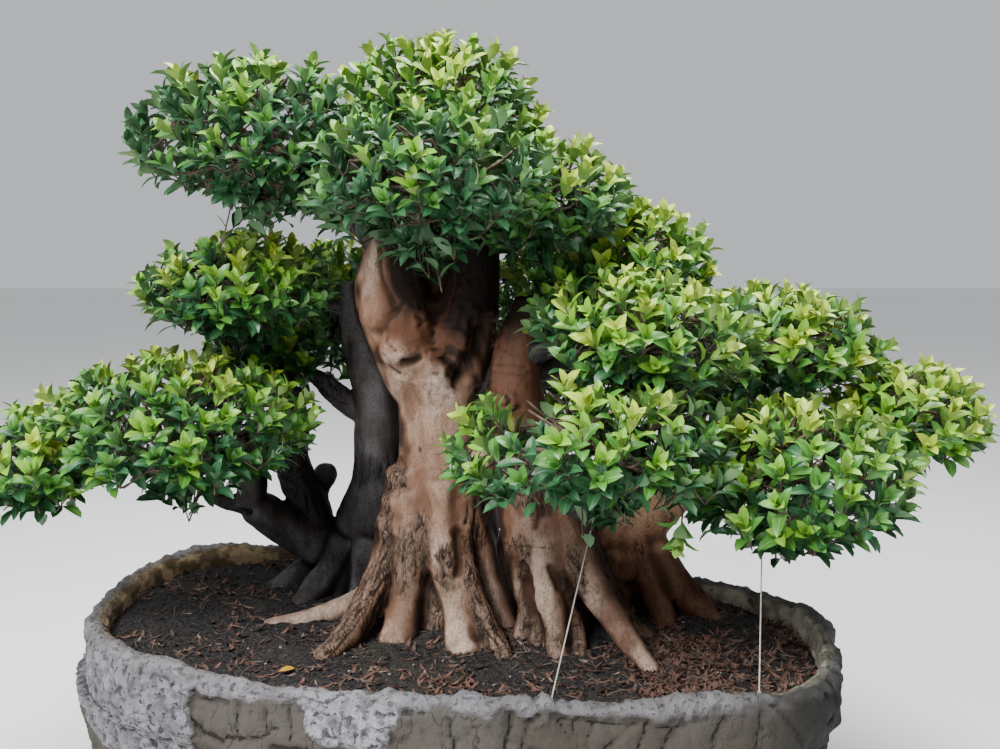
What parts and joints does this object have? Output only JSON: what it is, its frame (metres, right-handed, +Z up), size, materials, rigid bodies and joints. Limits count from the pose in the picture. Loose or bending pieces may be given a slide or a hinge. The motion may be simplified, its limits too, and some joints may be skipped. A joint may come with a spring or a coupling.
{
  "type": "bonsai tree in a pot",
  "caption": "Large fig bonsai with a fluted, root-flared trunk and layered pads of foliage, planted in a rock-faced oblong pot.",
  "frame": {"origin": "middle of the pot's flat underside, on the surface that the pot stands on", "axes": "+X to the right along the pot's length as seen from its front, +Y towards its back, +Z up"},
  "size_m": [2.1064, 1.2491, 1.6618],
  "materials": {
    "bark": "rough pinkish-tan bark with reddish patches and dark cracks",
    "dark_bark": "rough dark brown bark",
    "foliage": "glossy green leaves, yellow-green at the tips",
    "rock": "rough cast concrete shaped like weathered rock",
    "soil": "dark crumbly soil with dry leaf litter",
    "string": "thin pale twisted string"
  },
  "bodies": {
    "root": {"pot": "rock", "soil": "soil", "trunk": "bark", "stem_right": "bark", "stem_rear_right": "bark", "stem_rear_left": "dark_bark", "bough_low_left": "dark_bark", "bough_low_left_end": "dark_bark", "twig_low_left": "dark_bark", "stem_inner_left": "dark_bark", "stub_left": "dark_bark", "branch_left": "dark_bark", "stub_right": "dark_bark", "bough_crown_left": "dark_bark", "bough_crown_top": "dark_bark", "bough_crown_front": "dark_bark", "bough_crown_right": "dark_bark", "bough_crown_back": "dark_bark", "bough_right_shoulder": "dark_bark", "bough_right_middle": "dark_bark", "bough_right_slope": "dark_bark", "bough_right_tip": "dark_bark", "bough_lower_right": "dark_bark", "bough_lower_right_front": "dark_bark", "bough_left_upper": "dark_bark", "bough_left_inner": "dark_bark", "bough_lower_left_tip": "dark_bark", "bough_back_left": "dark_bark", "bough_back_right": "dark_bark", "bough_back_low": "dark_bark", "bough_back_slope": "dark_bark", "crown_top": "foliage", "crown_left": "foliage", "crown_front": "foliage", "crown_right": "foliage", "crown_back": "foliage", "right_shoulder": "foliage", "right_middle": "foliage", "right_slope": "foliage", "right_tip": "foliage", "lower_right_front": "foliage", "lower_right": "foliage", "left_upper": "foliage", "left_inner": "foliage", "lower_left": "foliage", "lower_left_tip": "foliage", "back_left": "foliage", "back_right": "foliage", "back_low": "foliage", "back_slope": "foliage", "tie_front": "string", "tie_right": "string"}
  },
  "joints": []
}
